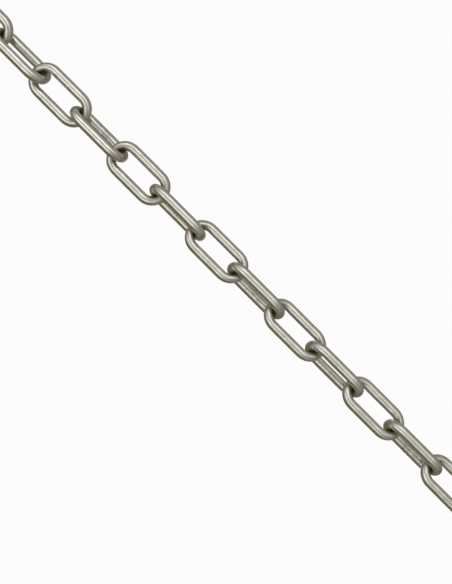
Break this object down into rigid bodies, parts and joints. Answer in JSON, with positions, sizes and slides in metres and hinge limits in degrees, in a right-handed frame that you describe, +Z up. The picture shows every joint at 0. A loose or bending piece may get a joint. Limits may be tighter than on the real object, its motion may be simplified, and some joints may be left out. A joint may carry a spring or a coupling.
{
  "type": "straight-link steel chain",
  "caption": "Length of welded straight-link steel chain, stretched out, each link crossing the next and free to swing on it.",
  "frame": {"origin": "on the floor under the middle of the stretched chain, the bottom centre of its box", "axes": "+X along the chain, +Z up from the floor it lies on"},
  "size_m": [0.9934, 0.022, 0.0209],
  "materials": {
    "steel": "satin bright drawn wire, duller and darker on the bows"
  },
  "bodies": {
    "link_01": {"link_01": "steel"},
    "link_02": {"link_02": "steel"},
    "link_03": {"link_03": "steel"},
    "link_04": {"link_04": "steel"},
    "link_05": {"link_05": "steel"},
    "link_06": {"link_06": "steel"},
    "link_07": {"link_07": "steel"},
    "link_08": {"link_08": "steel"},
    "link_09": {"link_09": "steel"},
    "link_10": {"link_10": "steel"},
    "link_11": {"link_11": "steel"},
    "link_12": {"link_12": "steel"},
    "link_13": {"link_13": "steel"},
    "link_14": {"link_14": "steel"},
    "link_15": {"link_15": "steel"},
    "link_16": {"link_16": "steel"},
    "link_17": {"link_17": "steel"},
    "link_18": {"link_18": "steel"},
    "link_19": {"link_19": "steel"},
    "link_20": {"link_20": "steel"},
    "link_21": {"link_21": "steel"},
    "link_22": {"link_22": "steel"},
    "link_23": {"link_23": "steel"},
    "link_24": {"link_24": "steel"},
    "link_25": {"link_25": "steel"},
    "link_26": {"link_26": "steel"},
    "link_27": {"link_27": "steel"},
    "link_28": {"link_28": "steel"},
    "link_29": {"link_29": "steel"},
    "link_30": {"link_30": "steel"}
  },
  "joints": [
    {"name": "swing_02", "type": "hinge", "parent": "link_01", "child": "link_02", "pos_m": [-0.45465, 0, 0.01048], "axis": [0, -0.7029, -0.7112], "range_deg": [-120, 120]},
    {"name": "swing_03", "type": "hinge", "parent": "link_02", "child": "link_03", "pos_m": [-0.42195, 0, 0.01048], "axis": [0, -0.714, 0.7002], "range_deg": [-120, 120]},
    {"name": "swing_04", "type": "hinge", "parent": "link_03", "child": "link_04", "pos_m": [-0.38925, 0, 0.01048], "axis": [0, 0.6955, 0.7185], "range_deg": [-120, 120]},
    {"name": "swing_05", "type": "hinge", "parent": "link_04", "child": "link_05", "pos_m": [-0.35655, 0, 0.01048], "axis": [0, 0.726, -0.6877], "range_deg": [-120, 120]},
    {"name": "swing_06", "type": "hinge", "parent": "link_05", "child": "link_06", "pos_m": [-0.32385, 0, 0.01048], "axis": [0, -0.6744, -0.7384], "range_deg": [-120, 120]},
    {"name": "swing_07", "type": "hinge", "parent": "link_06", "child": "link_07", "pos_m": [-0.29115, 0, 0.01048], "axis": [0, -0.7584, 0.6518], "range_deg": [-120, 120]},
    {"name": "swing_08", "type": "hinge", "parent": "link_07", "child": "link_08", "pos_m": [-0.25845, 0, 0.01048], "axis": [0, 0.6129, 0.7902], "range_deg": [-120, 120]},
    {"name": "swing_09", "type": "hinge", "parent": "link_08", "child": "link_09", "pos_m": [-0.22575, 0, 0.01048], "axis": [0, 0.8387, -0.5446], "range_deg": [-120, 120]},
    {"name": "swing_10", "type": "hinge", "parent": "link_09", "child": "link_10", "pos_m": [-0.19305, 0, 0.01048], "axis": [0, -0.4226, -0.9063], "range_deg": [-120, 120]},
    {"name": "swing_11", "type": "hinge", "parent": "link_10", "child": "link_11", "pos_m": [-0.16035, 0, 0.01048], "axis": [0, -0.9816, 0.1908], "range_deg": [-120, 120]},
    {"name": "swing_12", "type": "hinge", "parent": "link_11", "child": "link_12", "pos_m": [-0.12765, 0, 0.01048], "axis": [0, 0.4384, 0.8988], "range_deg": [-120, 120]},
    {"name": "swing_13", "type": "hinge", "parent": "link_12", "child": "link_13", "pos_m": [-0.09495, 0, 0.01048], "axis": [0, 0.9397, -0.342], "range_deg": [-120, 120]},
    {"name": "swing_14", "type": "hinge", "parent": "link_13", "child": "link_14", "pos_m": [-0.06225, 0, 0.01048], "axis": [0, -0.5736, -0.8192], "range_deg": [-120, 120]},
    {"name": "swing_15", "type": "hinge", "parent": "link_14", "child": "link_15", "pos_m": [-0.02955, 0, 0.01048], "axis": [0, -0.6428, 0.766], "range_deg": [-120, 120]},
    {"name": "swing_16", "type": "hinge", "parent": "link_15", "child": "link_16", "pos_m": [0.00315, 0, 0.01048], "axis": [0, 0.8572, 0.515], "range_deg": [-120, 120]},
    {"name": "swing_17", "type": "hinge", "parent": "link_16", "child": "link_17", "pos_m": [0.03585, 0, 0.01048], "axis": [0, 0.515, -0.8572], "range_deg": [-120, 120]},
    {"name": "swing_18", "type": "hinge", "parent": "link_17", "child": "link_18", "pos_m": [0.06855, 0, 0.01048], "axis": [0, -0.9205, -0.3907], "range_deg": [-120, 120]},
    {"name": "swing_19", "type": "hinge", "parent": "link_18", "child": "link_19", "pos_m": [0.10125, 0, 0.01048], "axis": [0, -0.4695, 0.8829], "range_deg": [-120, 120]},
    {"name": "swing_20", "type": "hinge", "parent": "link_19", "child": "link_20", "pos_m": [0.13395, 0, 0.01048], "axis": [0, 0.9063, 0.4226], "range_deg": [-120, 120]},
    {"name": "swing_21", "type": "hinge", "parent": "link_20", "child": "link_21", "pos_m": [0.16665, 0, 0.01048], "axis": [0, 0.5446, -0.8387], "range_deg": [-120, 120]},
    {"name": "swing_22", "type": "hinge", "parent": "link_21", "child": "link_22", "pos_m": [0.19935, 0, 0.01048], "axis": [0, -0.8746, -0.4848], "range_deg": [-120, 120]},
    {"name": "swing_23", "type": "hinge", "parent": "link_22", "child": "link_23", "pos_m": [0.23205, 0, 0.01048], "axis": [0, -0.5793, 0.8151], "range_deg": [-120, 120]},
    {"name": "swing_24", "type": "hinge", "parent": "link_23", "child": "link_24", "pos_m": [0.26475, 0, 0.01048], "axis": [0, 0.7745, 0.6326], "range_deg": [-120, 120]},
    {"name": "swing_25", "type": "hinge", "parent": "link_24", "child": "link_25", "pos_m": [0.29745, 0, 0.01048], "axis": [0, 0.6632, -0.7484], "range_deg": [-120, 120]},
    {"name": "swing_26", "type": "hinge", "parent": "link_25", "child": "link_26", "pos_m": [0.33015, 0, 0.01048], "axis": [0, -0.7322, -0.6811], "range_deg": [-120, 120]},
    {"name": "swing_27", "type": "hinge", "parent": "link_26", "child": "link_27", "pos_m": [0.36285, 0, 0.01048], "axis": [0, -0.6916, 0.7223], "range_deg": [-120, 120]},
    {"name": "swing_28", "type": "hinge", "parent": "link_27", "child": "link_28", "pos_m": [0.39555, 0, 0.01048], "axis": [0, 0.7163, 0.6978], "range_deg": [-120, 120]},
    {"name": "swing_29", "type": "hinge", "parent": "link_28", "child": "link_29", "pos_m": [0.42825, 0, 0.01048], "axis": [0, 0.7016, -0.7126], "range_deg": [-120, 120]},
    {"name": "swing_30", "type": "hinge", "parent": "link_29", "child": "link_30", "pos_m": [0.46095, 0, 0.01048], "axis": [0, -0.7104, -0.7038], "range_deg": [-120, 120]}
  ]
}
